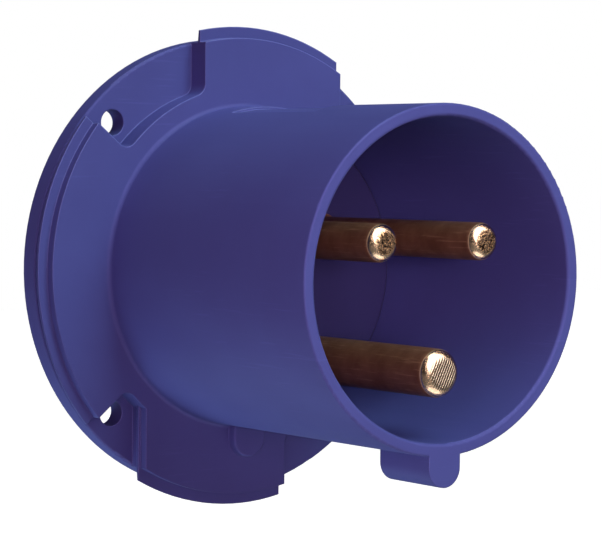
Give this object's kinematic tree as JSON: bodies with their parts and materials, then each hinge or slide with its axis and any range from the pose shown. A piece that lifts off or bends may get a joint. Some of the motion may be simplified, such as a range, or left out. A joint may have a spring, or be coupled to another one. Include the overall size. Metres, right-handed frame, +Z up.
{
  "type": "appliance plug",
  "caption": "Round flanged panel inlet plug with a tubular keyed shroud, line pins, a thicker earth pin and screw terminals behind.",
  "frame": {"origin": "centre of the bolt pattern on the flange's back face, on the shroud's axis", "axes": "-Y along the shroud and pins to the mouth, +Y out of the flange's back, +Z up with the key nose at -Z, +X to the right seen from the mouth"},
  "size_m": [0.0836, 0.0798, 0.0862],
  "materials": {
    "blue_plastic": "satin",
    "carrier_plastic": "satin",
    "plate_plastic": "satin",
    "brass": "turned",
    "steel": "zinc plated",
    "seal_rubber": "matte"
  },
  "bodies": {
    "root": {"housing": "blue_plastic", "contact_carrier": "carrier_plastic", "terminal_plate": "plate_plastic", "line_pin": "brass", "neutral_pin": "brass", "earth_pin": "brass", "plate_screws": "steel", "terminal_screws": "steel", "flange_gasket": "seal_rubber"}
  },
  "joints": []
}
